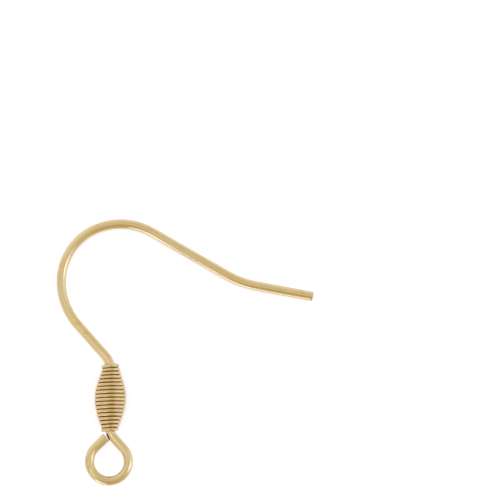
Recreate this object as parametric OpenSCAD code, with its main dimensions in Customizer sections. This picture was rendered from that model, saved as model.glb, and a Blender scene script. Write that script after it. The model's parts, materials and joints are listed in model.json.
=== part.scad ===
// Ear wire: a fish-hook ear wire with a barrel coil round its neck and an eye for a
// drop at the bottom. It lies on its side, as it rests by itself on a flat surface:
// on the belly of the coil, on the arch and on the tip of the tail.
// The hook is drawn in the plane of its own wire, with the middle of the coil at the
// origin and the neck along +Y, and is laid down as a whole afterwards.

/* [Hook wire] */
// Thickness of the hook's wire
wire_d = 0.7; // [0.5:0.05:0.9]
// Bevel filed on the tip of the tail and on the cut end of the eye
tip_bevel = 0.05; // [0.02:0.01:0.12]

/* [Arch over the ear] */
// Centre line radius of the arch's first stretch, above the shank
arch_back_r = 4.8; // [4:0.1:6]
// Turn of that stretch in degrees
arch_back_turn = 39; // [30:1:50]
// Centre line radius across the crown of the arch
arch_top_r = 4.2; // [3.6:0.1:5.5]
// Turn of the crown in degrees
arch_top_turn = 67; // [55:1:75]
// Centre line radius of the arch's last stretch, towards the tail
arch_front_r = 4.6; // [4:0.1:6]
// Turn of that stretch in degrees
arch_front_turn = 55.4; // [45:0.2:60]

/* [Tail] */
// Straight of the tail from the arch to its outward bend
tail_len = 6.2; // [4:0.1:9]
// Centre line radius of the outward bend
tail_bend_r = 7.2; // [4:0.1:12]
// Turn of the outward bend in degrees
tail_bend_turn = 19.3; // [10:0.1:30]
// Straight end of the tail, which takes a slip-on ear nut
tail_end_len = 4.2; // [3:0.1:7]

/* [Shank and shoulder] */
// Straight of the shank between the arch and the shoulder
shank_len = 3; // [2:0.1:6]
// Lean of the shank away from the neck in degrees
shank_lean = 42.8; // [30:0.2:50]
// Centre line radius of the shoulder, where the shank bends into the neck
shoulder_r = 1.8; // [1.5:0.1:3]
// How far the shoulder reaches down inside the coil
shoulder_dip = 0.58; // [0.2:0.02:0.7]

/* [Eye] */
// Inside diameter of the eye
eye_hole_d = 2.15; // [1.6:0.05:3]
// Centre line radius of the small bend from the neck into the eye
eye_bend_r = 0.95; // [0.8:0.05:1.1]
// Lean of the eye's first limb away from the neck in degrees
eye_limb_lean = 43.5; // [38:0.5:50]
// Lean of the eye's closing limb away from the neck in degrees
eye_close_lean = 44.6; // [39:0.2:50]
// How far the small bend reaches up inside the coil
eye_dip = 0.18; // [0.1:0.02:0.3]
// Slit left between the eye's cut end and the neck
eye_slit = 0.03; // [0.02:0.01:0.1]

/* [Coil] */
// Length of the coil along the neck, from the middle of its wire's start to its end
coil_len = 4.86; // [3.8:0.02:6]
// Thickness of the coil's wire
coil_wire_d = 0.26; // [0.2:0.02:0.34]
// Outside diameter at the belly of the coil
coil_belly_d = 2.35; // [1.8:0.05:2.6]
// Least slit between two turns
turn_slit = 0.01; // [0.01:0.002:0.06]
// Clearance of the end turns round the hook's wire
neck_slit = 0.03; // [0.02:0.01:0.06]

/* [Hidden] */

$fn = 48;
wire_color = [0.87, 0.74, 0.49];
coil_color = [0.85, 0.71, 0.45];

// The barrel form of the coil. Each row has two columns: how far along the coil it
// lies, as a share of the length from the eye's end, and how much of the full swell
// from the end turns to the belly the turn there has.
barrel = [[0, 0], [0.05, 0.03], [0.12, 0.3], [0.24, 0.66], [0.36, 0.93], [0.42, 1],
          [0.56, 1], [0.61, 0.92], [0.72, 0.66], [0.84, 0.28], [0.93, 0.05], [1, 0]];

wire_r = wire_d / 2;
coil_wire_r = coil_wire_d / 2;

// The coil starts at its left side and ends at its back, a share of a turn further on.
// It has as many whole turns before that as lie side by side in its length.
start_angle = -90;
back_angle = 180;
start_to_back = (back_angle - start_angle) / 360;
whole_turns = floor(coil_len / (coil_wire_d + turn_slit) - start_to_back);
coil_turns = whole_turns + start_to_back;
// Rings of the coil's mesh to one turn, and sides round its wire
rings_per_turn = 20;
coil_sides = 8;

shoulder_y = coil_len / 2 - shoulder_dip;
eye_bend_y = coil_len / 2 - eye_dip;

eye_r = (eye_hole_d + wire_d) / 2;
eye_turn = 180 + eye_limb_lean + eye_close_lean;
// The first limb is as long as sets the eye's centre on the line of the neck
eye_limb_len = eye_r / tan(eye_limb_lean) - eye_bend_r * tan(eye_limb_lean / 2);

// The bends are drawn a hair thinner than the straights, as bending draws a wire out,
// and reach a little way into them, so that the pieces join as one solid.
bend_trim = 0.003;
bend_lap = 0.03;

// A pose on the wire is [x, y, heading]. A piece of the wire is [length of a straight
// or centre line radius of a bend, turn to the left in degrees or 0, trim of a bend].
function ahead(pose, len) =
    [pose[0] + len * cos(pose[2]), pose[1] + len * sin(pose[2]), pose[2]];

function bent(pose, r, turn) =
    let (left = sign(turn) * r, to = pose[2] + turn)
    [pose[0] + left * (sin(to) - sin(pose[2])), pose[1] - left * (cos(to) - cos(pose[2])), to];

function after(pose, piece, share = 1) =
    piece[1] == 0 ? ahead(pose, piece[0] * share) : bent(pose, piece[0], piece[1] * share);

// Each piece with the pose where it starts
function walk(pieces, pose, i = 0) =
    i == len(pieces) ? [] :
    concat([[pose, pieces[i]]], walk(pieces, after(pose, pieces[i]), i + 1));

function end_pose(walked) =
    let (w = walked[len(walked) - 1]) after(w[0], w[1]);

// Poses close together along walked pieces
stride = 0.05;
stride_angle = 1.5;
function along(walked) =
    [for (w = walked)
        let (strides = ceil(w[1][1] == 0 ? w[1][0] / stride : abs(w[1][1]) / stride_angle))
        for (k = [0:strides]) after(w[0], w[1], k / strides)];

// The hook from the lower end of the neck up to the straight end of the tail
neck = [eye_bend_y + shoulder_y, 0];
arch = [
    [arch_back_r, -arch_back_turn, bend_trim],
    [arch_top_r, -arch_top_turn, 0],
    [arch_front_r, -arch_front_turn, bend_trim]];
upper = walk(concat(
    [neck, [shoulder_r, shank_lean, bend_trim], [shank_len, 0]],
    arch,
    [[tail_len, 0], [tail_bend_r, tail_bend_turn, bend_trim]]), [0, -eye_bend_y, 90]);
tail_end = end_pose(upper);
tail_cut = ahead(tail_end, tail_end_len - tip_bevel);
tail_tip = ahead(tail_end, tail_end_len);

// The hook from the lower end of the neck down and round the eye to its closing limb
eye_neck = walk([[eye_bend_r, eye_limb_lean, bend_trim], [eye_limb_len, 0]],
    [0, -eye_bend_y, -90]);
eye_ring = walk([[eye_r, -eye_turn, bend_trim]], end_pose(eye_neck));
closing_limb = end_pose(eye_ring);

// The closing limb runs on until its cut end lies a slit away from the neck. A point
// of the neck's centre line lies so far along the limb and so far beside it, and the
// end reaches as far beside the limb as the bevel leaves of it.
function limb_len_to(point) =
    let (
        heading = closing_limb[2],
        dx = point[0] - closing_limb[0],
        dy = point[1] - closing_limb[1],
        along_limb = dx * cos(heading) + dy * sin(heading),
        across_limb = abs(dy * cos(heading) - dx * sin(heading)),
        beside = max(across_limb - wire_r + tip_bevel, 0),
        reach = wire_r + eye_slit)
    beside < reach ? along_limb - sqrt(reach * reach - beside * beside) : 1 / 0;
neck_poses = along(concat([upper[0]], eye_neck));
closing_len = min([for (pose = neck_poses) limb_len_to(pose)]);

// Where the neck's centre line lies inside the coil: on the axis, and off it where
// the shoulder and the eye's small bend reach into the coil. The sine of its lean
// there is kept below that of the steepest lean, which a short bend would pass.
steepest_lean = 64;
function bend_lean(y) =
    y > shoulder_y ? asin(min((y - shoulder_y) / shoulder_r, sin(steepest_lean))) :
    y < -eye_bend_y ? asin(min((-eye_bend_y - y) / eye_bend_r, sin(steepest_lean))) : 0;
function neck_x(y) =
    y > shoulder_y ? -shoulder_r * (1 - cos(bend_lean(y))) : eye_bend_r * (1 - cos(bend_lean(y)));

// Centre line radius of the coil's wire at a height along the coil
belly_r = coil_belly_d / 2 - coil_wire_r;
hug_r = wire_r + neck_slit + coil_wire_r;
function turn_r(y) =
    hug_r / cos(bend_lean(y)) + (belly_r - hug_r) * lookup(y / coil_len + 0.5, barrel);

// How the ear wire rests. Its plane lies at height rise[0] + rise[1] * x + rise[2] * y.
// Three places touch the surface: the back of one turn of the coil, the lowest place
// of the arch, and the edge of the tail's tip.
backs = [for (k = [0:whole_turns]) coil_len * ((k + start_to_back) / coil_turns - 0.5)];
first_arch_piece = 3;
arch_poses = along([for (i = [0:len(arch) - 1]) upper[first_arch_piece + i]]);

function height(rise, x, y) = rise[0] + rise[1] * x + rise[2] * y;
function upright(rise) = sqrt(1 - rise[1] * rise[1] - rise[2] * rise[2]);

function lowest_back(rise) =
    let (drops = [for (y = backs) (turn_r(y) + coil_wire_r) * upright(rise) - rise[2] * y],
         y = backs[search(max(drops), drops)[0]])
    [neck_x(y), y, (turn_r(y) + coil_wire_r) * upright(rise)];

function lowest_arch(rise) =
    let (heights = [for (p = arch_poses) height(rise, p[0], p[1])],
         p = arch_poses[search(min(heights), heights)[0]])
    [p[0], p[1], wire_r];

function lowest_tip(rise) =
    let (slope = rise[1] * cos(tail_cut[2]) + rise[2] * sin(tail_cut[2]))
    [tail_cut[0], tail_cut[1], wire_r * sqrt(1 - slope * slope)];

function plane_on(a, b, c) =
    let (n = cross(b - a, c - a), rx = -n[0] / n[2], ry = -n[1] / n[2])
    [a[2] - rx * a[0] - ry * a[1], rx, ry];

function settle(rise, rounds) =
    rounds < 1 ? rise :
    settle(plane_on(lowest_back(rise), lowest_arch(rise), lowest_tip(rise)), rounds - 1);

// Each round finds the three places on the plane of the round before it, which starts
// level with the middle of the coil
settling_rounds = 6;
rise = settle([coil_belly_d / 2, 0, 0], settling_rounds);
up = upright(rise);
lay_tilt = acos(up);
lay_axis = [rise[2], -rise[1], 0];

// The same turn as lay_tilt round lay_axis, for points and directions of the wire's plane
function laid(x, y) = [
    x - rise[1] * (rise[1] * x + rise[2] * y) / (1 + up),
    y - rise[2] * (rise[1] * x + rise[2] * y) / (1 + up)];

// The reach of the whole hook along X and Y once it is laid down: each cross-section
// of the wire is a disc square to its heading
function reach_of(poses, r, side, sense) =
    max([for (p = poses)
        let (slant = laid(cos(p[2]), sin(p[2]))[side])
        sense * laid(p[0], p[1])[side] + r * sqrt(max(1 - slant * slant, 0))]);
hook_poses = concat(along(upper), [tail_cut], along(eye_neck), along(eye_ring));
function hook_reach(side, sense) =
    max(reach_of(hook_poses, wire_r, side, sense),
        reach_of([tail_tip], wire_r - tip_bevel, side, sense));
mid = [for (side = [0, 1]) (hook_reach(side, 1) - hook_reach(side, -1)) / 2];

module at_pose(pose) {
    translate([pose[0], pose[1], 0]) rotate([0, 0, pose[2]]) children();
}

// A straight of the wire, along +X
module straight(len) {
    rotate([0, 90, 0]) cylinder(r = wire_r, h = len);
}

// A straight with a filed bevel on its cut end, along +X
module cut_end(len) {
    rotate([0, 90, 0]) rotate_extrude() polygon([
        [0, 0], [wire_r, 0], [wire_r, len - tip_bevel], [wire_r - tip_bevel, len], [0, len]]);
}

// A bend of the wire that leaves along +X, to the left where the turn is positive. A
// trimmed bend laps into its neighbours at both ends.
module bend(r, turn, trim) {
    lap = trim > 0 ? bend_lap / r * 180 / PI : 0;
    start = turn > 0 ? -90 : 90 + turn;
    translate([0, sign(turn) * r, 0]) rotate([0, 0, start - lap])
        rotate_extrude(angle = abs(turn) + 2 * lap) translate([r, 0]) circle(r = wire_r - trim);
}

module wire_along(walked) {
    for (w = walked)
        at_pose(w[0])
            if (w[1][1] == 0) straight(w[1][0]); else bend(w[1][0], w[1][1], w[1][2]);
}

module lay_down() {
    translate([-mid[0], -mid[1], rise[0]]) rotate(a = lay_tilt, v = lay_axis) children();
}

// One wire: tail, arch, shank, shoulder, neck and eye
module ear_hook() {
    color(wire_color) lay_down() union() {
        wire_along(upper);
        at_pose(tail_end) cut_end(tail_end_len);
        wire_along(eye_neck);
        wire_along(eye_ring);
        at_pose(closing_limb) cut_end(closing_len);
    }
}

// The barrel coil: its wire is swept along a helix whose radius follows the barrel
// form and whose axis follows the neck. Seen from the front it rises to the right.
coil_rings = ceil(coil_turns * rings_per_turn);
coil_points = [for (i = [0:coil_rings])
    let (angle = start_angle + 360 * coil_turns * i / coil_rings,
         y = coil_len * (i / coil_rings - 0.5))
    for (k = [0:coil_sides - 1])
        let (side = 360 * k / coil_sides, out = turn_r(y) + coil_wire_r * cos(side))
        [neck_x(y) + out * sin(angle), y + coil_wire_r * sin(side), out * cos(angle)]];
first_end = [for (k = [coil_sides - 1:-1:0]) k];
last_end = [for (k = [0:coil_sides - 1]) coil_rings * coil_sides + k];
coil_walls = [for (i = [0:coil_rings - 1]) for (k = [0:coil_sides - 1])
    let (here = i * coil_sides, next = here + coil_sides, side = (k + 1) % coil_sides)
    each [[here + k, next + side, next + k], [here + k, here + side, next + side]]];

module coil() {
    color(coil_color) lay_down()
        polyhedron(points = coil_points, faces = concat([first_end, last_end], coil_walls));
}

ear_hook();
coil();
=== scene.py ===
"""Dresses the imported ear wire: the bent hook wire, the barrel coil round its neck, and
the pale surface, the lights and the camera that show them. Lengths are in metres."""

import json
import math

import bmesh
import bpy
from bpy.props import FloatProperty, FloatVectorProperty, IntProperty, PointerProperty
from mathutils import Matrix, Quaternion, Vector, noise


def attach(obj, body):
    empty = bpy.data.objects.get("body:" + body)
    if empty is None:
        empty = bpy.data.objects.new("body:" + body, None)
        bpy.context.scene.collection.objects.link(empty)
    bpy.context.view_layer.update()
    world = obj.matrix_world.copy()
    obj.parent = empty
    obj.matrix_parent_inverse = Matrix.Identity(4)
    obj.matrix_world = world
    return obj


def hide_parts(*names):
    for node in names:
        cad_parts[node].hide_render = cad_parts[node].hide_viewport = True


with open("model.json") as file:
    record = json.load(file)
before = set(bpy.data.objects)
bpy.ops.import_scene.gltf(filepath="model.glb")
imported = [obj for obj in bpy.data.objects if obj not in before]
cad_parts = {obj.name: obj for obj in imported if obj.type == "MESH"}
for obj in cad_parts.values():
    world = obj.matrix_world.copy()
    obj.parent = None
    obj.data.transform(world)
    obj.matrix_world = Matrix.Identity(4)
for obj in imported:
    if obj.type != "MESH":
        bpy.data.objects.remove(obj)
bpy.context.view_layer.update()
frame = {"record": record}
MOUNTS = {mount["name"]: mount for mount in frame["record"]["mounts"]}

bl_info = {
    "name": "Ear Wire",
    "version": (1, 0, 0),
    "blender": (4, 5, 0),
    "location": "View3D > Sidebar > Ear Wire",
    "description": "A fish-hook ear wire with a barrel coil, lying on a pale surface",
    "category": "Object",
}

MM = 0.001


def length(name, description, millimetres):
    """A length that a user may change."""
    return FloatProperty(
        name=name, description=description, default=millimetres * MM,
        min=0.0, precision=5, subtype="DISTANCE", unit="LENGTH")


def angle(name, description, degrees):
    """An angle that a user may change."""
    return FloatProperty(
        name=name, description=description, default=math.radians(degrees),
        subtype="ANGLE", unit="ROTATION")


def share(name, description, value):
    """A plain factor that a user may change."""
    return FloatProperty(name=name, description=description, default=value, min=0.0)


def colour(name, description, value):
    """A linear colour that a user may change."""
    return FloatVectorProperty(
        name=name, description=description, default=value,
        size=3, min=0.0, max=1.0, subtype="COLOR")


class EARWIRE_PG_hook(bpy.types.PropertyGroup):
    """Sizes of the hook's wire and of its bends, along their centre line."""

    wire_d: length("Wire", "Thickness of the hook's wire", 0.7)
    end_round: length("End rounding", "Rounding filed on the cut ends", 0.05)
    tail_end: length("Tail end", "Straight end of the tail, for the ear nut", 4.2)
    tail_bend_r: length("Tail bend", "Radius of the tail's outward bend", 7.2)
    tail_bend_turn: angle("Tail bend turn", "Turn of the outward bend", 19.3)
    tail: length("Tail", "Straight of the tail up to the arch", 6.2)
    arch_front_r: length("Arch front", "Radius of the arch by the tail", 4.6)
    arch_front_turn: angle("Arch front turn", "Turn of the arch by the tail", 55.4)
    arch_top_r: length("Crown", "Radius of the arch's crown", 4.2)
    arch_top_turn: angle("Crown turn", "Turn of the crown", 67)
    arch_back_r: length("Arch back", "Radius of the arch by the shank", 4.8)
    arch_back_turn: angle("Arch back turn", "Turn of the arch by the shank", 39)
    shank: length("Shank", "Straight of the shank down to the shoulder", 3.0)
    shoulder_r: length("Shoulder", "Radius of the shoulder, above the neck", 1.8)
    shank_lean: angle("Shank lean", "Lean of the shank away from the neck", 42.8)
    shoulder_dip: length("Shoulder dip", "Reach of the shoulder into the coil", 0.58)
    eye_dip: length("Eye dip", "Reach of the eye's small bend into the coil", 0.18)
    eye_bend_r: length("Eye bend", "Radius of the small bend into the eye", 0.95)
    eye_limb_lean: angle("Eye limb lean", "Lean of the eye's first limb", 43.5)
    eye_close_lean: angle("Eye closing lean", "Lean of the eye's closing limb", 44.6)
    eye_hole_d: length("Eye hole", "Inside diameter of the eye", 2.15)
    eye_slit: length("Eye slit", "Slit between the eye's cut end and the neck", 0.03)


class EARWIRE_PG_coil(bpy.types.PropertyGroup):
    """Sizes of the barrel coil."""

    length: length("Length", "Length of the coil along the neck", 4.86)
    wire_d: length("Wire", "Thickness of the coil's wire", 0.26)
    belly_d: length("Belly", "Outside diameter at the belly", 2.35)
    neck_slit: length("Neck slit", "Clearance of the end turns round the neck", 0.03)
    whole_turns: IntProperty(
        name="Whole turns", description="Whole turns before the last part turn",
        default=17, min=8, max=30)
    waver: length("Waver", "How far the hand-wound turns waver in and out", 0.008)


class EARWIRE_PG_finish(bpy.types.PropertyGroup):
    """The pale gold plate, and the brown shade painted between the turns."""

    plate: colour("Plate", "Pale gold of the polished plate", (0.646, 0.513, 0.298))
    warm_plate: colour("Warm plate", "Where the plate is thicker", (0.617, 0.472, 0.232))
    coil_plate: colour("Coil plate", "Plate of the coil", (0.635, 0.475, 0.25))
    # Painted shade: the brown gold between the coil's turns stands for the shade there
    groove_shade: colour("Groove", "Brown gold between the turns", (0.56, 0.31, 0.01))
    bare: colour("Bare brass", "Where the plate is cut or rubbed off", (0.40, 0.24, 0.09))
    polish: share("Polish", "Roughness of the polished wire", 0.14)
    coil_polish: share("Coil polish", "Roughness of the coil's wire", 0.24)
    draw_line: length("Draw lines", "Depth of the lines left by drawing", 0.007)
    fine_line: length("Fine lines", "Depth of the finest of these lines", 0.0008)
    scratch: length("Scratches", "Depth of the hairline scratches", 0.004)


class EARWIRE_PG_studio(bpy.types.PropertyGroup):
    """The pale surface, the light round it and the camera straight above it."""

    surface: colour("Surface", "Colour of the surface", (0.90, 0.90, 0.90))
    sheen: share("Sheen", "Roughness of the surface", 0.35)
    glow: colour("Glow", "Cool light that comes through the surface", (0.30, 0.32, 0.39))
    tent: share("Tent", "Brightness of the white tent all round", 1.07)
    cool_light: colour("Cool light", "Light of the large lamps", (0.45, 0.63, 1.0))
    plain_light: colour("Plain light", "Light of the small lamp above", (1.0, 0.93, 0.90))
    lamp_gain: share("Lamp gain", "What makes up for the colour of the lamps", 1.58)
    view_x: FloatProperty(
        name="View X", description="Middle of the picture across the neck",
        default=4.695 * MM, precision=5, subtype="DISTANCE", unit="LENGTH")
    view_y: FloatProperty(
        name="View Y", description="Middle of the picture along the neck",
        default=7.728 * MM, precision=5, subtype="DISTANCE", unit="LENGTH")
    view_w: length("View width", "Width of the surface in the picture", 36.65)
    roll: angle("Roll", "Turn of the camera about its own line of sight", 1.32)
    lens: FloatProperty(
        name="Lens", description="Focal length in millimetres of the long lens",
        default=1000.0, min=50.0, max=4000.0)


# The route of a wire: poses of its centre line in the plane that it is bent in


class Pose:
    """A place in the wire's plane, and the heading of the wire there in radians."""

    def __init__(self, x, y, heading):
        self.x, self.y, self.heading = x, y, heading

    def ahead(self, distance):
        """The pose a straight length further on."""
        return Pose(
            self.x + distance * math.cos(self.heading),
            self.y + distance * math.sin(self.heading), self.heading)

    def bent(self, radius, turn):
        """The pose past a bend, which goes to the left where the turn is positive."""
        left = math.copysign(radius, turn)
        heading = self.heading + turn
        return Pose(
            self.x + left * (math.sin(heading) - math.sin(self.heading)),
            self.y - left * (math.cos(heading) - math.cos(self.heading)), heading)


# The longest stride along a straight, and the largest turn from pose to pose in a bend
STRIDE = 0.05 * MM
STRIDE_TURN = math.radians(1.5)


def walk(pose, pieces):
    """Poses close together along pieces, each a straight's length or (radius, turn)."""
    poses = [pose]
    for piece in pieces:
        start = poses[-1]
        if isinstance(piece, tuple):
            radius, turn = piece
            strides = math.ceil(abs(turn) / STRIDE_TURN)
            poses += [start.bent(radius, turn * (i + 1) / strides) for i in range(strides)]
        else:
            strides = math.ceil(piece / STRIDE)
            poses += [start.ahead(piece * (i + 1) / strides) for i in range(strides)]
    return poses


def eye_radius(hook):
    """Centre line radius of the eye."""
    return (hook.eye_hole_d + hook.wire_d) / 2


def eye_drop(hook):
    """How far the eye's centre lies below the lower end of the neck."""
    return (hook.eye_bend_r * math.tan(hook.eye_limb_lean / 2)
            + eye_radius(hook) / math.sin(hook.eye_limb_lean))


def neck_ends(hook, coil):
    """Heights of the neck's lower and upper end from the middle of the coil."""
    return hook.eye_dip - coil.length / 2, coil.length / 2 - hook.shoulder_dip


def closing_length(hook, closing, neck):
    """Length of the closing limb, whose cut end stops a slit away from the neck."""
    wire_r = hook.wire_d / 2
    reach = wire_r + hook.eye_slit
    lengths = []
    for pose in neck:
        dx, dy = pose.x - closing.x, pose.y - closing.y
        along = dx * math.cos(closing.heading) + dy * math.sin(closing.heading)
        across = abs(dy * math.cos(closing.heading) - dx * math.sin(closing.heading))
        beside = max(across - wire_r + hook.end_round, 0)
        if beside < reach:
            lengths.append(along - math.sqrt(reach * reach - beside * beside))
    return min(lengths)


def hook_route(hook, coil):
    """Poses of the hook's wire from the tip of its tail to the cut end of its eye."""
    low, high = neck_ends(hook, coil)
    up_to_tail = walk(Pose(0, low, math.pi / 2), [
        high - low,
        (hook.shoulder_r, hook.shank_lean),
        hook.shank,
        (hook.arch_back_r, -hook.arch_back_turn),
        (hook.arch_top_r, -hook.arch_top_turn),
        (hook.arch_front_r, -hook.arch_front_turn),
        hook.tail,
        (hook.tail_bend_r, hook.tail_bend_turn),
        hook.tail_end])
    eye_r = eye_radius(hook)
    limb = (eye_r / math.tan(hook.eye_limb_lean)
            - hook.eye_bend_r * math.tan(hook.eye_limb_lean / 2))
    into_eye = walk(Pose(0, low, -math.pi / 2), [(hook.eye_bend_r, hook.eye_limb_lean), limb])
    ring_turn = math.pi + hook.eye_limb_lean + hook.eye_close_lean
    ring = walk(into_eye[-1], [(eye_r, -ring_turn)])
    neck = walk(Pose(0, low, math.pi / 2), [high - low]) + into_eye
    closing = walk(ring[-1], [closing_length(hook, ring[-1], neck)])
    return up_to_tail[::-1] + into_eye[1:] + ring[1:] + closing[1:]


def wire_plane(hook, coil):
    """The matrix that lays the wire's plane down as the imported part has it.

    Its origin is the middle of the coil and its +Y runs up the neck. The eye's mount
    gives the eye's centre and the normal, and the arch's mount points down the neck."""
    normal = Vector(MOUNTS["eye"]["axis"]).normalized()
    neck = -Vector(MOUNTS["ear_arch"]["axis"])
    across = neck.cross(normal).normalized()
    neck = normal.cross(across)
    low, _ = neck_ends(hook, coil)
    middle = Vector(MOUNTS["eye"]["pos_m"]) + neck * (eye_drop(hook) - low)
    turn = Matrix((across, neck, normal)).transposed().to_4x4()
    return Matrix.Translation(middle) @ turn


def route_length(points):
    """Length of the line through points."""
    return sum((b - a).length for a, b in zip(points, points[1:]))


# Drawing a straight wire and bending it


def deselect_all():
    """Nothing is selected, so that the next operator acts on the new piece alone."""
    if bpy.context.object and bpy.context.object.mode != "OBJECT":
        bpy.ops.object.mode_set(mode="OBJECT")
    bpy.ops.object.select_all(action="DESELECT")


def select_edges(wire, wanted):
    """Selects in edit mode the edges for which wanted(start, end) holds."""
    bpy.ops.mesh.select_mode(type="EDGE")
    bpy.ops.mesh.select_all(action="DESELECT")
    mesh = bmesh.from_edit_mesh(wire.data)
    for edge in mesh.edges:
        edge.select_set(wanted(edge.verts[0].co, edge.verts[1].co))
    mesh.select_flush_mode()
    bmesh.update_edit_mesh(wire.data)


# Flats across the rounding of a cut end, the share of the radius within which a point
# lies on the cut face, and the sharpest edge that is shaded smooth
END_SEGMENTS = 3
CUT_SHARE = 0.999
SMOOTH_ANGLE = math.radians(40)


def draw_wire(name, radius, wire_length, sides, cuts, end_round):
    """A straight wire from the origin along +X, its cut ends rounded over, and its
    length split by each number of cuts in turn."""
    deselect_all()
    bpy.ops.mesh.primitive_cylinder_add(
        vertices=sides, radius=radius, depth=wire_length, end_fill_type="NGON",
        location=(wire_length / 2, 0, 0), rotation=(0, math.pi / 2, 0))
    wire = bpy.context.object
    wire.name = wire.data.name = name
    bpy.ops.object.transform_apply(location=True, rotation=True, scale=True)
    bpy.ops.object.mode_set(mode="EDIT")
    select_edges(wire, lambda a, b: abs(a.x - b.x) <= end_round)
    bpy.ops.mesh.bevel(offset=end_round, segments=END_SEGMENTS, affect="EDGES")
    for number in cuts:
        select_edges(wire, lambda a, b: abs(a.x - b.x) > end_round)
        bpy.ops.mesh.subdivide(number_cuts=number)
    bpy.ops.mesh.select_all(action="SELECT")
    bpy.ops.mesh.normals_make_consistent(inside=False)
    bpy.ops.object.mode_set(mode="OBJECT")
    return wire


def keep_drawn_places(wire, radius, wire_length):
    """Keeps where each point lay on the straight wire, in millimetres, so that the
    lines left by drawing follow the wire through its bends, and which points lie on
    its two cut faces."""
    drawn = wire.data.attributes.new("drawn", "FLOAT_VECTOR", "POINT")
    for vertex, place in zip(wire.data.vertices, drawn.data):
        place.vector = vertex.co / MM
    cut = wire.data.attributes.new("cut", "FLOAT", "POINT")
    for vertex, bare in zip(wire.data.vertices, cut.data):
        x, y, z = vertex.co
        from_end = min(x, wire_length - x)
        bare.value = float(math.hypot(y, z) < CUT_SHARE * radius and from_end < radius / 2)


def bend_wire(wire, points):
    """Bends the straight wire along points, and leaves its place in its mesh."""
    line = bpy.data.curves.new("route", "CURVE")
    line.dimensions = "3D"
    line.twist_mode = "MINIMUM"
    spline = line.splines.new("POLY")
    spline.points.add(len(points) - 1)
    for spot, point in zip(spline.points, points):
        spot.co = (*point, 1)
    route = bpy.data.objects.new("route", line)
    bpy.context.collection.objects.link(route)
    bpy.ops.object.modifier_add(type="CURVE")
    bend = wire.modifiers[-1]
    bend.object = route
    bend.deform_axis = "POS_X"
    bpy.ops.object.modifier_apply(modifier=bend.name)
    bpy.data.objects.remove(route)
    bpy.data.curves.remove(line)
    bpy.ops.object.shade_smooth_by_angle(angle=SMOOTH_ANGLE)


# Materials


def add_node(tree, kind, settings=None, **inputs):
    """A node with its settings made and its inputs set or joined. An input is given by
    its name, or by its place as _0, _1 and so on."""
    made = tree.nodes.new(kind)
    for name, value in (settings or {}).items():
        setattr(made, name, value)
    for name, value in inputs.items():
        socket = made.inputs[int(name[1:])] if name[1:].isdigit() else made.inputs[name]
        if isinstance(value, bpy.types.NodeSocket):
            tree.links.new(value, socket)
        else:
            socket.default_value = value
    return made


def scaled(tree, vector, scale):
    """A vector stretched by scale."""
    return add_node(tree, "ShaderNodeMapping", {"vector_type": "POINT"},
                    Vector=vector, Scale=scale).outputs["Vector"]


def noise_of(tree, vector, scale=1.0, detail=2.0, roughness=0.5):
    """Noise from 0 to 1 on a vector."""
    return add_node(tree, "ShaderNodeTexNoise", Vector=vector, Scale=scale, Detail=detail,
                    Roughness=roughness).outputs["Fac"]


def ranged(tree, value, low, high, to_low, to_high):
    """A value carried from one range to another and kept inside it."""
    made = add_node(tree, "ShaderNodeMapRange", Value=value)
    for name, number in (("From Min", low), ("From Max", high),
                         ("To Min", to_low), ("To Max", to_high)):
        made.inputs[name].default_value = number
    return made.outputs["Result"]


def mixed(tree, factor, first, second):
    """One colour going over into another."""
    made = add_node(tree, "ShaderNodeMix", {"data_type": "RGBA"})
    sockets = {socket.identifier: socket for socket in made.inputs}
    tree.links.new(factor, sockets["Factor_Float"])
    for name, value in (("A_Color", first), ("B_Color", second)):
        if isinstance(value, bpy.types.NodeSocket):
            tree.links.new(value, sockets[name])
        else:
            sockets[name].default_value = (*value, 1)
    return next(socket for socket in made.outputs if socket.identifier == "Result_Color")


def bumped(tree, height, distance, below=None, inwards=False):
    """A bump of a height over another one."""
    made = add_node(tree, "ShaderNodeBump", {"invert": inwards},
                    Height=height, Distance=distance)
    if below is not None:
        tree.links.new(below, made.inputs["Normal"])
    return made.outputs["Normal"]


def summed(tree, first, second):
    """The sum of two values."""
    made = add_node(tree, "ShaderNodeMath", {"operation": "ADD"})
    for socket, value in zip(made.inputs, (first, second)):
        tree.links.new(value, socket)
    return made.outputs["Value"]


def new_metal(name):
    """A metal's material, its tree and its shader."""
    material = bpy.data.materials.new(name)
    material.use_nodes = True
    tree = material.node_tree
    shader = tree.nodes["Principled BSDF"]
    shader.inputs["Metallic"].default_value = 1.0
    return material, tree, shader


def kept_on(tree, name, output="Fac"):
    """What the points of a mesh keep under a name."""
    return add_node(tree, "ShaderNodeAttribute", {"attribute_name": name}).outputs[output]


WHITE = (1, 1, 1)

# Waves of the noise to a millimetre: for the draw lines and the scratches along the drawn
# wire and across it both ways, for the tone, the haze and the rubbed spots all ways
LINE_WAVES = (0.15, 9, 9)
FINE_LINE_WAVES = (0.6, 40, 40)
SCRATCH_WAVES = (6, 1.1, 28)
TONE_WAVES = 0.55
HAZE_WAVES = 2.3
RUB_WAVES = 1.6

# Ranges that a value is carried from and to: its low and high, and what they become.
# What comes from the haze is added to the polish.
SCRATCHED = (0.68, 0.76, 0, 1)
RUBBED = (0.58, 0.74, 0, 0.4)
WARM_FROM_TONE = (0.35, 0.65, 0, 0.6)
WARM_FROM_LINES = (0.35, 0.65, 0, 0.4)
ROUGH_FROM_HAZE = (0.3, 0.7, -0.03, 0.04)
ROUGH_FROM_LINES = (0.3, 0.7, -0.03, 0.03)
ROUGH_FROM_RUBBING = (0, 0.4, 0, 0.1)
ROUGH_FROM_CUT = (0, 1, 0, 0.2)
ROUGH_FROM_DEPTH = (0.2, 0.9, 0, 0.15)
# How the painted shade between the coil's turns grows with the depth in its grooves
SHADE_FROM_DEPTH = (0.15, 0.75, 0, 1)


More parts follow.
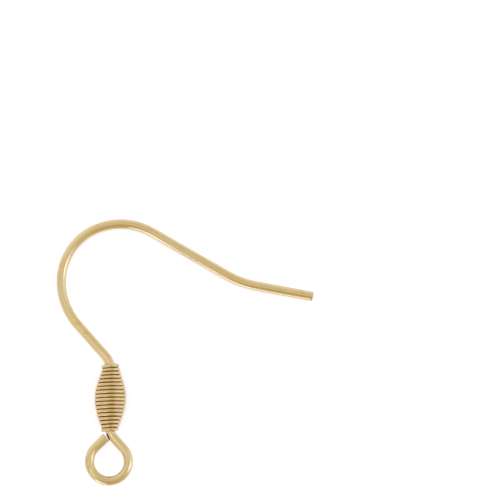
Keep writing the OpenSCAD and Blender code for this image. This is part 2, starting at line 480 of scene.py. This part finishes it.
def gold_plate(name, finish, plate, polish, shade_grooves=False):
    """Polished pale gold plate on drawn wire, with brown shade painted in the grooves of a
    coil.
    """
    material, tree, shader = new_metal(name)
    place = add_node(tree, "ShaderNodeTexCoord").outputs["Object"]
    place = scaled(tree, place, (1 / MM,) * 3)
    drawn = kept_on(tree, "drawn", "Vector")
    cut = kept_on(tree, "cut")
    lines = noise_of(tree, scaled(tree, drawn, LINE_WAVES))
    fine_lines = noise_of(tree, scaled(tree, drawn, FINE_LINE_WAVES))
    scratches = noise_of(tree, scaled(tree, drawn, SCRATCH_WAVES))
    scratches = ranged(tree, scratches, *SCRATCHED)
    tone = noise_of(tree, place, TONE_WAVES, detail=3)
    haze = noise_of(tree, place, HAZE_WAVES, detail=4, roughness=0.6)
    rubbed = noise_of(tree, place, RUB_WAVES, detail=5, roughness=0.65)
    rubbed = ranged(tree, rubbed, *RUBBED)
    patches = summed(tree, ranged(tree, tone, *WARM_FROM_TONE),
                     ranged(tree, lines, *WARM_FROM_LINES))
    gold = mixed(tree, patches, plate, finish.warm_plate)
    gold = mixed(tree, rubbed, gold, finish.bare)
    gold = mixed(tree, cut, gold, finish.bare)
    low, high, smoother, rougher = ROUGH_FROM_HAZE
    roughness = ranged(tree, haze, low, high, polish + smoother, polish + rougher)
    for value, carried in ((lines, ROUGH_FROM_LINES), (rubbed, ROUGH_FROM_RUBBING),
                           (cut, ROUGH_FROM_CUT)):
        roughness = summed(tree, roughness, ranged(tree, value, *carried))
    # Painted shade in the grooves: brown gold and a brown edge tint where the turns meet
    if shade_grooves:
        depth = kept_on(tree, "depth")
        painted_shade = ranged(tree, depth, *SHADE_FROM_DEPTH)
        gold = mixed(tree, painted_shade, gold, finish.groove_shade)
        edge = mixed(tree, painted_shade, WHITE, finish.groove_shade)
        tree.links.new(edge, shader.inputs["Specular Tint"])
        roughness = summed(tree, roughness, ranged(tree, depth, *ROUGH_FROM_DEPTH))
    tree.links.new(gold, shader.inputs["Base Color"])
    tree.links.new(roughness, shader.inputs["Roughness"])
    normal = bumped(tree, lines, finish.draw_line)
    normal = bumped(tree, fine_lines, finish.fine_line, normal)
    normal = bumped(tree, scratches, finish.scratch, normal, inwards=True)
    tree.links.new(normal, shader.inputs["Normal"])
    return material


# Operators

# Flats round each wire, and the numbers of cuts that split its length in turn
HOOK_SIDES = 48
HOOK_CUTS = (23, 23)
COIL_SIDES = 20
COIL_CUTS = (30, 29)


class EARWIRE_OT_bend_hook(bpy.types.Operator):
    """Draw the hook's wire and bend it to tail, arch, shank, neck and eye"""

    bl_idname = "earwire.bend_hook"
    bl_label = "Bend the Hook"

    def execute(self, context):
        hook, coil = context.scene.earwire_hook, context.scene.earwire_coil
        plane = wire_plane(hook, coil)
        points = [plane @ Vector((pose.x, pose.y, 0)) for pose in hook_route(hook, coil)]
        radius, wire_length = hook.wire_d / 2, route_length(points)
        wire = draw_wire("ear_hook_wire", radius, wire_length,
                         HOOK_SIDES, HOOK_CUTS, hook.end_round)
        keep_drawn_places(wire, radius, wire_length)
        bend_wire(wire, points)
        finish = context.scene.earwire_finish
        wire.data.materials.append(
            gold_plate("hook_plate", finish, finish.plate, finish.polish))
        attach(wire, "root")
        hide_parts("ear_hook")
        return {"FINISHED"}


# Share of the full swell that the coil has at a share of its length from the eye's end
BARREL = ((0, 0), (0.05, 0.03), (0.12, 0.3), (0.24, 0.66), (0.36, 0.93), (0.42, 1),
          (0.56, 1), (0.61, 0.92), (0.72, 0.66), (0.84, 0.28), (0.93, 0.05), (1, 0))
# The coil's wire starts at the left of the neck and ends behind it: the angle of its start
# from above the neck towards the right, and the part turn after the whole turns
START_ANGLE = -math.pi / 2
START_TO_BACK = 0.75
POINTS_PER_TURN = 96
# How fast the waver changes from turn to turn, and the line of the noise that it follows
WAVER_RATE = 1.3
WAVER_LINE = (0.5, 0.5)
# Sine of the lean up to which the coil follows the neck's bends
STEEPEST_SINE = 0.9
# How many times faster the painted shade fades along the bare sides of the end turns
END_FADE = 2
# Rounding of the coil's cut ends, as a share of its wire
COIL_END_ROUND = 0.1


def swell(along):
    """Share of the full swell at a share of the coil's length, in straight stretches."""
    for (low, low_swell), (high, high_swell) in zip(BARREL, BARREL[1:]):
        if along <= high:
            return low_swell + (high_swell - low_swell) * (along - low) / (high - low)
    return BARREL[-1][1]


def neck_lean(hook, coil, y):
    """Sine of the neck's lean, and how far it lies beside the coil's middle, at y."""
    low, high = neck_ends(hook, coil)
    if y > high:
        sine = min((y - high) / hook.shoulder_r, STEEPEST_SINE)
        return sine, -hook.shoulder_r * (1 - math.sqrt(1 - sine * sine))
    if y < low:
        sine = min((low - y) / hook.eye_bend_r, STEEPEST_SINE)
        return sine, hook.eye_bend_r * (1 - math.sqrt(1 - sine * sine))
    return 0.0, 0.0


def turn_radius(hook, coil, y):
    """Centre line radius of the coil's wire at y."""
    hug_r = hook.wire_d / 2 + coil.neck_slit + coil.wire_d / 2
    belly_r = (coil.belly_d - coil.wire_d) / 2
    sine, _ = neck_lean(hook, coil, y)
    return (hug_r / math.sqrt(1 - sine * sine)
            + (belly_r - hug_r) * swell(y / coil.length + 0.5))


def coil_route(hook, coil):
    """Points of the coil's wire in the hook's plane, from its lower to its upper end."""
    turns = coil.whole_turns + START_TO_BACK
    steps = round(turns * POINTS_PER_TURN)
    points = []
    for i in range(steps + 1):
        turn = turns * i / steps
        y = coil.length * (i / steps - 0.5)
        around = START_ANGLE + 2 * math.pi * turn
        waver = coil.waver * noise.noise(Vector((WAVER_RATE * turn, *WAVER_LINE)))
        radius = turn_radius(hook, coil, y) + waver
        _, beside = neck_lean(hook, coil, y)
        points.append(Vector((
            beside + radius * math.sin(around), y, radius * math.cos(around))))
    return points


def end_turns(coil, around):
    """Heights of the coil's first and last turn at an angle round the neck."""
    turns = coil.whole_turns + START_TO_BACK
    first = (around - START_ANGLE) / (2 * math.pi) % 1
    last = first + math.floor(turns - first)
    return coil.length * (first / turns - 0.5), coil.length * (last / turns - 0.5)


def keep_depths(wire, plane, hook, coil):
    """Keeps how deep each point lies in the grooves between the turns: 1 where they
    meet, 0 outside and inside the coil and on the bare sides of its end turns."""
    depths = wire.data.attributes.new("depth", "FLOAT", "POINT")
    to_plane = plane.inverted()
    wire_r = coil.wire_d / 2
    for vertex, depth in zip(wire.data.vertices, depths.data):
        x, y, z = to_plane @ vertex.co
        _, beside = neck_lean(hook, coil, y)
        out = math.hypot(x - beside, z) - turn_radius(hook, coil, y)
        first, last = end_turns(coil, math.atan2(x - beside, z))
        past_end = max(first - y, y - last, 0)
        # The depth sets where brown shade is painted between the turns
        depth.value = max(1 - (abs(out) + END_FADE * past_end) / wire_r, 0)


class EARWIRE_OT_wind_coil(bpy.types.Operator):
    """Draw the thin wire and wind it to a barrel coil round the hook's neck"""

    bl_idname = "earwire.wind_coil"
    bl_label = "Wind the Coil"

    def execute(self, context):
        hook, coil = context.scene.earwire_hook, context.scene.earwire_coil
        plane = wire_plane(hook, coil)
        points = [plane @ point for point in coil_route(hook, coil)]
        radius, wire_length = coil.wire_d / 2, route_length(points)
        wire = draw_wire("barrel_coil_wire", radius, wire_length,
                         COIL_SIDES, COIL_CUTS, COIL_END_ROUND * coil.wire_d)
        keep_drawn_places(wire, radius, wire_length)
        bend_wire(wire, points)
        keep_depths(wire, plane, hook, coil)
        finish = context.scene.earwire_finish
        # The coil's plate gets brown shade painted between its turns
        wire.data.materials.append(gold_plate(
            "coil_plate", finish, finish.coil_plate, finish.coil_polish, shade_grooves=True))
        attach(wire, "root")
        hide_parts("coil")
        return {"FINISHED"}


# The lamps: name, colour's name, azimuth, elevation and lean in degrees, distance, width
# and height in metres, and brightness as a multiple of white
LAMPS = (
    ("strip_lamp", "cool_light", -8, 37, 18, 0.5, 0.15, 0.36, 0.9),
    ("front_lamp", "cool_light", -111, 14, 0, 0.5, 0.25, 0.24, 1.36),
    ("top_lamp", "plain_light", 201, 76, 0, 0.5, 0.09, 0.09, 0.65),
)

# Softly bounded parts of the tent: azimuth and elevation of the middle, angles from it
# at which the part starts to fade and has gone, all in degrees, and share of light added
TENT_PARTS = (
    ("right_low", 0, 8, 5, 40, 0.17),
    ("right", 0, 38, 5, 38, 0.18),
    ("right_high", 22, 64, 5, 32, 0.10),
    ("back_right", 45, 38, 5, 38, -0.15),
    ("back_high", 82, 64, 5, 32, -0.20),
    ("back_left_low", 135, 8, 5, 40, 0.14),
    ("back_left_high", 142, 64, 5, 32, 0.08),
    ("left", 180, 38, 5, 38, -0.13),
    ("front_low", -90, 8, 5, 40, -0.23),
    ("front", -90, 38, 5, 38, -0.34),
    ("front_seam", -100, 50, 5, 17, -0.16),
    ("top_seam", -99, 76, 3, 18, -0.20),
    ("corner_low", -68, 8, 5, 28, -0.16),
    ("corner", -68, 36, 5, 28, 0.25),
    ("front_right_low", -45, 8, 5, 40, -0.13),
    ("front_right", -45, 38, 5, 38, -0.19),
    ("front_right_high", -38, 64, 5, 32, -0.27),
)


# Side of the surface, and the nearest and farthest that the camera sees, in metres
SURFACE_SIZE = 4
CLIP_START = 0.01
CLIP_END = 20


def direction(azimuth, elevation):
    """The direction of an azimuth from +X towards +Y and an elevation, in degrees."""
    turn, rise = math.radians(azimuth), math.radians(elevation)
    level = math.cos(rise)
    return Vector((math.cos(turn) * level, math.sin(turn) * level, math.sin(rise)))


def lay_surface(studio):
    """The pale light table that the ear wire lies on."""
    deselect_all()
    bpy.ops.mesh.primitive_plane_add(size=SURFACE_SIZE)
    surface = bpy.context.object
    surface.name = "pale_surface"
    material = bpy.data.materials.new("pale_acrylic")
    material.use_nodes = True
    shader = material.node_tree.nodes["Principled BSDF"]
    shader.inputs["Base Color"].default_value = (*studio.surface, 1)
    shader.inputs["Roughness"].default_value = studio.sheen
    shader.inputs["Emission Color"].default_value = (*studio.glow, 1)
    shader.inputs["Emission Strength"].default_value = 1
    surface.data.materials.append(material)


def hang_lamps(studio):
    """The soft lamps, out of the camera's sight."""
    for name, tint, azimuth, elevation, lean, distance, width, height, brightness in LAMPS:
        light = bpy.data.lights.new(name, "AREA")
        light.shape = "RECTANGLE"
        light.size, light.size_y = width, height
        light.color = getattr(studio, tint)
        light.energy = brightness * studio.lamp_gain * math.pi * width * height
        lamp = bpy.data.objects.new(name, light)
        facing = direction(azimuth, elevation).to_track_quat("Z", "Y")
        lamp.location = direction(azimuth, elevation) * distance
        lamp.rotation_euler = (facing @ Quaternion((0, 0, 1), math.radians(lean))).to_euler()
        lamp.visible_camera = False
        bpy.context.collection.objects.link(lamp)


def pitch_tent(studio):
    """The white tent all round, with its brighter and its greyer parts."""
    world = bpy.data.worlds.new("white_tent")
    bpy.context.scene.world = world
    world.use_nodes = True
    tree = world.node_tree
    towards = add_node(tree, "ShaderNodeTexCoord").outputs["Generated"]
    added = add_node(tree, "ShaderNodeValue").outputs["Value"]
    added.default_value = 0
    for name, azimuth, elevation, inner, outer, gain in TENT_PARTS:
        near = add_node(tree, "ShaderNodeVectorMath", {"operation": "DOT_PRODUCT"},
                        _0=towards, _1=direction(azimuth, elevation)).outputs["Value"]
        part = add_node(tree, "ShaderNodeMapRange", {"interpolation_type": "SMOOTHSTEP"},
                        Value=near)
        part.label = name
        part.inputs["From Min"].default_value = math.cos(math.radians(outer))
        part.inputs["From Max"].default_value = math.cos(math.radians(inner))
        part.inputs["To Max"].default_value = gain
        added = summed(tree, added, part.outputs["Result"])
    cool = Vector(studio.cool_light) * studio.lamp_gain
    cooled = add_node(tree, "ShaderNodeVectorMath", {"operation": "SCALE"},
                      _0=cool, Scale=added)
    light = add_node(tree, "ShaderNodeVectorMath", {"operation": "ADD"},
                     _0=(studio.tent,) * 3, _1=cooled.outputs["Vector"])
    tree.links.new(light.outputs["Vector"], tree.nodes["Background"].inputs["Color"])


def aim_camera(studio):
    """The camera, straight above the surface with a long lens."""
    camera = bpy.data.cameras.new("camera")
    camera.lens = studio.lens
    camera.clip_start, camera.clip_end = CLIP_START, CLIP_END
    stand = bpy.data.objects.new("camera", camera)
    height = studio.view_w * camera.lens / camera.sensor_width
    stand.location = (studio.view_x, studio.view_y, height)
    stand.rotation_euler = (0, 0, studio.roll)
    bpy.context.collection.objects.link(stand)
    bpy.context.scene.camera = stand


class EARWIRE_OT_set_stage(bpy.types.Operator):
    """Lay the pale surface, and set the lights and the camera"""

    bl_idname = "earwire.set_stage"
    bl_label = "Set the Stage"

    def execute(self, context):
        studio = context.scene.earwire_studio
        lay_surface(studio)
        hang_lamps(studio)
        pitch_tent(studio)
        aim_camera(studio)
        context.scene.view_settings.view_transform = "Standard"
        return {"FINISHED"}


GROUPS = {
    "earwire_hook": EARWIRE_PG_hook,
    "earwire_coil": EARWIRE_PG_coil,
    "earwire_finish": EARWIRE_PG_finish,
    "earwire_studio": EARWIRE_PG_studio,
}
OPERATORS = (EARWIRE_OT_bend_hook, EARWIRE_OT_wind_coil, EARWIRE_OT_set_stage)


class EARWIRE_PT_panel(bpy.types.Panel):
    """Sizes, finish and light of the ear wire, and the steps that make it"""

    bl_label = "Ear Wire"
    bl_idname = "EARWIRE_PT_panel"
    bl_space_type = "VIEW_3D"
    bl_region_type = "UI"
    bl_category = "Ear Wire"

    def draw(self, context):
        for name, group in GROUPS.items():
            box = self.layout.box()
            for field in group.__annotations__:
                box.prop(getattr(context.scene, name), field)
        for operator in OPERATORS:
            self.layout.operator(operator.bl_idname)


def register():
    for kind in (*GROUPS.values(), *OPERATORS, EARWIRE_PT_panel):
        bpy.utils.register_class(kind)
    for name, group in GROUPS.items():
        setattr(bpy.types.Scene, name, PointerProperty(type=group))


def unregister():
    for name in GROUPS:
        delattr(bpy.types.Scene, name)
    for kind in (EARWIRE_PT_panel, *OPERATORS, *GROUPS.values()):
        bpy.utils.unregister_class(kind)


def main():
    register()
    bpy.ops.earwire.bend_hook()
    bpy.ops.earwire.wind_coil()
    bpy.ops.earwire.set_stage()


if __name__ == "__main__":
    main()
